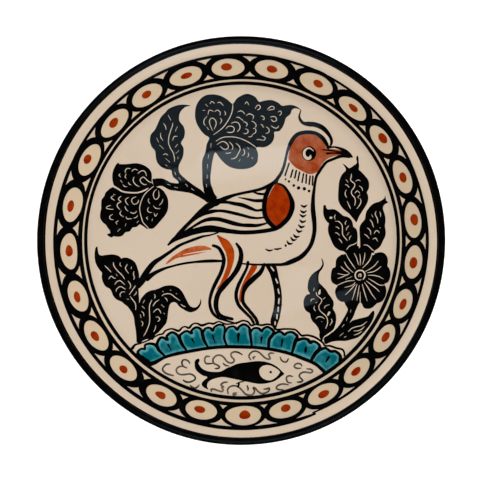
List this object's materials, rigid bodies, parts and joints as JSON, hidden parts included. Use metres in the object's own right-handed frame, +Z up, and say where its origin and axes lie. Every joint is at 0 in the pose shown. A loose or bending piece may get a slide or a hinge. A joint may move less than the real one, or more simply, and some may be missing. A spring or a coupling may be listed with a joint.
{
  "type": "ceramic plate",
  "caption": "Round glazed earthenware plate with a flat painted ledge, a shallow well and a foot ring, brush painted with a bird, flowers, leaves and a fish.",
  "frame": {"origin": "centre of the foot ring's underside, on the plate's axis", "axes": "+Z up along the plate's axis, +X the way the painted bird faces, +Y towards the top of the painting"},
  "size_m": [0.25, 0.25, 0.0361],
  "materials": {
    "clay": "fired unglazed clay, matte",
    "cream_glaze": "warm cream glaze, glossy",
    "black_paint": "black brush paint under clear glaze, glossy",
    "red_paint": "rust red brush paint under clear glaze, glossy",
    "turquoise_paint": "turquoise brush wash under clear glaze, glossy"
  },
  "bodies": {
    "root": {"clay_body": "clay", "foot_ring": "clay", "front_glaze": "cream_glaze", "back_glaze": "cream_glaze", "rim_band": "black_paint", "well_ring": "black_paint", "border_chain": "black_paint", "bird_outline": "black_paint", "bird_eye": "black_paint", "flower_top": "black_paint", "leaf_top": "black_paint", "flower_left": "black_paint", "leaf_pair_left": "black_paint", "leaf_right": "black_paint", "flower_right": "black_paint", "leaf_curled": "black_paint", "bank_scallop": "black_paint", "bank_outline": "black_paint", "fish": "black_paint", "bird_head_red": "red_paint", "bird_wing_red": "red_paint", "bird_tail_red": "red_paint", "bird_leg_red_1": "red_paint", "bird_leg_red_2": "red_paint", "border_dot_01": "red_paint", "border_dot_02": "red_paint", "border_dot_03": "red_paint", "border_dot_04": "red_paint", "border_dot_05": "red_paint", "border_dot_06": "red_paint", "border_dot_07": "red_paint", "border_dot_08": "red_paint", "border_dot_09": "red_paint", "border_dot_10": "red_paint", "border_dot_11": "red_paint", "border_dot_12": "red_paint", "border_dot_13": "red_paint", "border_dot_14": "red_paint", "border_dot_15": "red_paint", "border_dot_16": "red_paint", "border_dot_17": "red_paint", "border_dot_18": "red_paint", "border_dot_19": "red_paint", "border_dot_20": "red_paint", "border_dot_21": "red_paint", "border_dot_22": "red_paint", "border_dot_23": "red_paint", "border_dot_24": "red_paint", "border_dot_25": "red_paint", "bank_petal_1": "turquoise_paint", "bank_petal_2": "turquoise_paint", "bank_petal_3": "turquoise_paint", "bank_petal_4": "turquoise_paint", "bank_petal_5": "turquoise_paint", "bank_petal_6": "turquoise_paint", "bank_petal_7": "turquoise_paint", "bank_petal_8": "turquoise_paint", "bank_petal_9": "turquoise_paint"}
  },
  "joints": []
}
